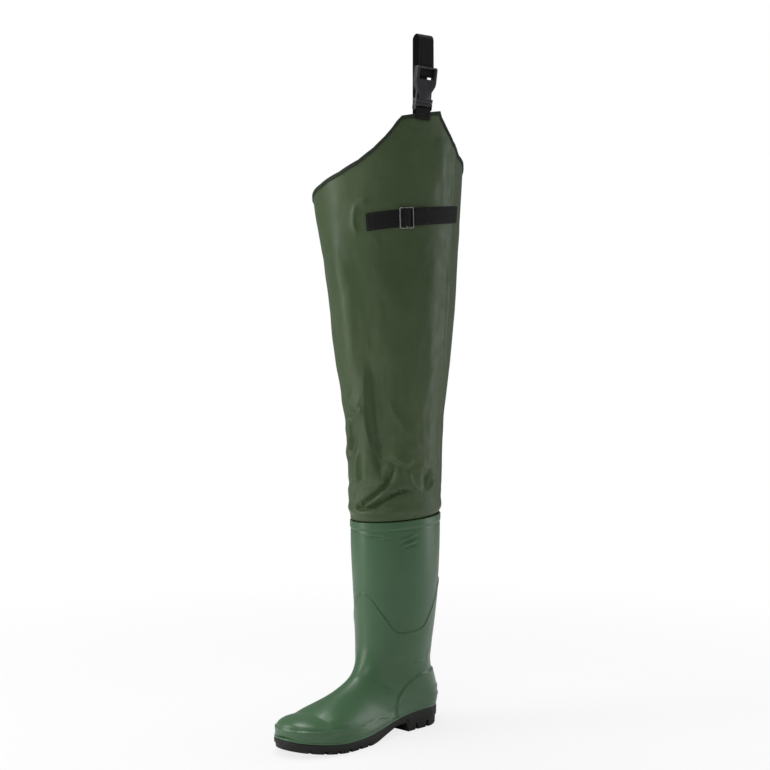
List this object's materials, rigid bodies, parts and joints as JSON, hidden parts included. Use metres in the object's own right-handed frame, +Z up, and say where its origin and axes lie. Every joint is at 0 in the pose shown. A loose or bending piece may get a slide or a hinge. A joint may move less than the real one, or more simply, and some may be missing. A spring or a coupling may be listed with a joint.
{
  "type": "hip wader",
  "caption": "Rubber boot with a tall coated fabric leg that rises to a hip tab, held up by a webbing belt loop with a side release buckle and a thigh strap.",
  "frame": {"origin": "on the floor under the middle of the heel's flat, at the heel_rest mount", "axes": "+Z up, the toe points to -Y, the outer side of the left leg faces +X"},
  "size_m": [0.2222, 0.3365, 1.0187],
  "materials": {
    "boot_rubber": "smooth semi-gloss dark green moulded PVC",
    "sole_rubber": "matt near-black rubber",
    "insole_foam": "matt textile on foam",
    "leg_fabric": "olive green coated fabric with a soft sheen",
    "binding_tape": "dark green tape",
    "webbing": "black woven webbing",
    "buckle_plastic": "dark grey satin plastic",
    "slider_metal": "bright nickel plated wire"
  },
  "bodies": {
    "root": {"boot": "boot_rubber", "outsole": "sole_rubber", "welt": "boot_rubber", "insole": "insole_foam", "leg": "leg_fabric", "top_binding": "binding_tape", "belt_strap": "webbing", "plug_tab": "webbing", "buckle_socket": "buckle_plastic", "buckle_plug": "buckle_plastic", "thigh_strap": "webbing", "thigh_strap_tail": "webbing", "strap_slider": "slider_metal"}
  },
  "joints": []
}
